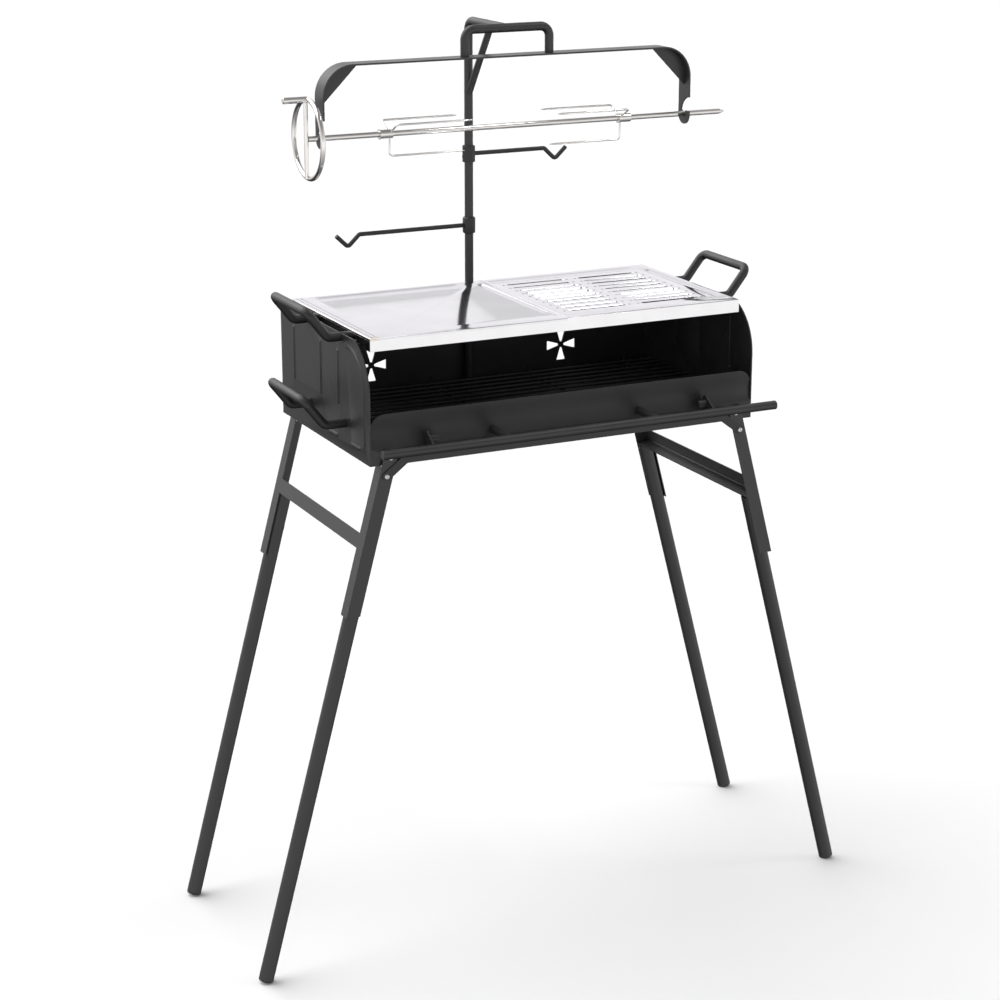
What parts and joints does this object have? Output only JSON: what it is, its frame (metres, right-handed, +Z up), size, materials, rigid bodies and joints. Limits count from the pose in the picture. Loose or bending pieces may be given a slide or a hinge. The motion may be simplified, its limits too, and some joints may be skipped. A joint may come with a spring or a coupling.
{
  "type": "rotisserie spit roaster",
  "caption": "Charcoal box on four splayed legs with lift-off hotplate and slotted grate, a turning post with swing hooks, and a hand-cranked spit with two forks.",
  "frame": {"origin": "on the floor, at the centre of the footprint box", "axes": "+X along the firebox to the right seen from the open front, -Y toward the open front, +Z up"},
  "size_m": [0.9576, 0.395, 1.2964],
  "materials": {
    "black_paint": "satin black heat-resistant paint",
    "stainless": "polished stainless sheet",
    "chrome": "bright chrome plate",
    "zinc": "zinc plated bolt",
    "bare_steel": "plain turned steel",
    "black_plastic": "black plastic",
    "black_screw": "blackened screw"
  },
  "bodies": {
    "firebox": {"end_panel_left": "black_paint", "end_panel_right": "black_paint", "back_panel": "black_paint", "bottom_panel": "black_paint", "front_panel": "black_paint", "front_rail": "black_paint", "rail_stubs": "black_paint", "rail_lugs": "black_paint", "lug_pins": "black_paint", "lower_handle_left": "black_paint", "lower_handle_right": "black_paint", "top_ledges": "black_paint", "grid_ledges": "black_paint", "post_socket": "black_paint", "post_guide": "black_paint", "leg_angle_front_left": "black_paint", "leg_angle_front_right": "black_paint", "leg_angle_rear_left": "black_paint", "leg_angle_rear_right": "black_paint", "leg_tube_front_left": "black_paint", "leg_tube_front_right": "black_paint", "leg_tube_rear_left": "black_paint", "leg_tube_rear_right": "black_paint", "crossbar_left": "black_paint", "crossbar_right": "black_paint", "leg_bolts_lower": "zinc", "leg_bolts_upper": "zinc", "leg_screws": "black_screw", "foot_plugs": "black_plastic", "leg_spacers": "black_paint", "apron_front": "black_paint", "apron_rear": "black_paint"},
    "top_frame": {"top_frame": "stainless", "upper_handle_left": "black_paint", "upper_handle_right": "black_paint"},
    "griddle": {"griddle": "stainless"},
    "grate": {"grate": "stainless"},
    "charcoal_grid": {"charcoal_grid": "black_paint"},
    "post_foot": {"post_foot": "bare_steel"},
    "post": {"post": "black_paint", "brace": "black_paint", "cradle_loop": "black_paint", "cradle_strip": "black_paint", "cradle_gussets": "black_paint"},
    "upper_bush": {"upper_bush": "bare_steel"},
    "upper_hook": {"upper_collar": "black_paint", "upper_hook_arm": "black_paint", "upper_set_screws": "black_screw"},
    "lower_bush": {"lower_bush": "bare_steel"},
    "lower_hook": {"lower_collar": "black_paint", "lower_hook_arm": "black_paint"},
    "spit": {"spit_rod": "chrome", "wheel_ring": "chrome", "wheel_spoke": "chrome", "crank_peg": "chrome"},
    "fork_left": {"fork_collar_left": "chrome", "fork_prongs_left": "chrome"},
    "fork_right": {"fork_collar_right": "chrome", "fork_prongs_right": "chrome"}
  },
  "joints": [
    {"name": "top_frame_lift", "type": "slide", "parent": "firebox", "child": "top_frame", "axis": [0, 0, 1], "range_m": [0, 0.06]},
    {"name": "griddle_lift", "type": "slide", "parent": "top_frame", "child": "griddle", "axis": [0, 0, 1], "range_m": [0, 0.06]},
    {"name": "grate_lift", "type": "slide", "parent": "top_frame", "child": "grate", "axis": [0, 0, 1], "range_m": [0, 0.06]},
    {"name": "charcoal_grid_lift", "type": "slide", "parent": "firebox", "child": "charcoal_grid", "axis": [0, 0, 1], "range_m": [0, 0.08]},
    {"name": "post_lift", "type": "slide", "parent": "firebox", "child": "post_foot", "axis": [0, 0, 1], "range_m": [0, 0.12]},
    {"name": "post_turn", "type": "hinge", "parent": "post_foot", "child": "post", "pos_m": [-0.004, 0.17683, 0.742], "axis": [0, 0, 1], "continuous": true},
    {"name": "upper_hook_height", "type": "slide", "parent": "post", "child": "upper_bush", "axis": [0, 0, 1], "range_m": [-0.06, 0.05]},
    {"name": "upper_hook_swing", "type": "hinge", "parent": "upper_bush", "child": "upper_hook", "pos_m": [-0.004, 0.17683, 1.097], "axis": [0, 0, 1], "continuous": true},
    {"name": "lower_hook_height", "type": "slide", "parent": "post", "child": "lower_bush", "axis": [0, 0, 1], "range_m": [-0.06, 0.06]},
    {"name": "lower_hook_swing", "type": "hinge", "parent": "lower_bush", "child": "lower_hook", "pos_m": [-0.004, 0.17683, 0.9915], "axis": [0, 0, 1], "continuous": true},
    {"name": "spit_turn", "type": "hinge", "parent": "post", "child": "spit", "pos_m": [0, 0.05683, 1.153], "axis": [1, 0, 0], "continuous": true},
    {"name": "fork_left_slide", "type": "slide", "parent": "spit", "child": "fork_left", "axis": [1, 0, 0], "range_m": [-0.08, 0.055]},
    {"name": "fork_right_slide", "type": "slide", "parent": "spit", "child": "fork_right", "axis": [1, 0, 0], "range_m": [-0.055, 0.08]}
  ]
}
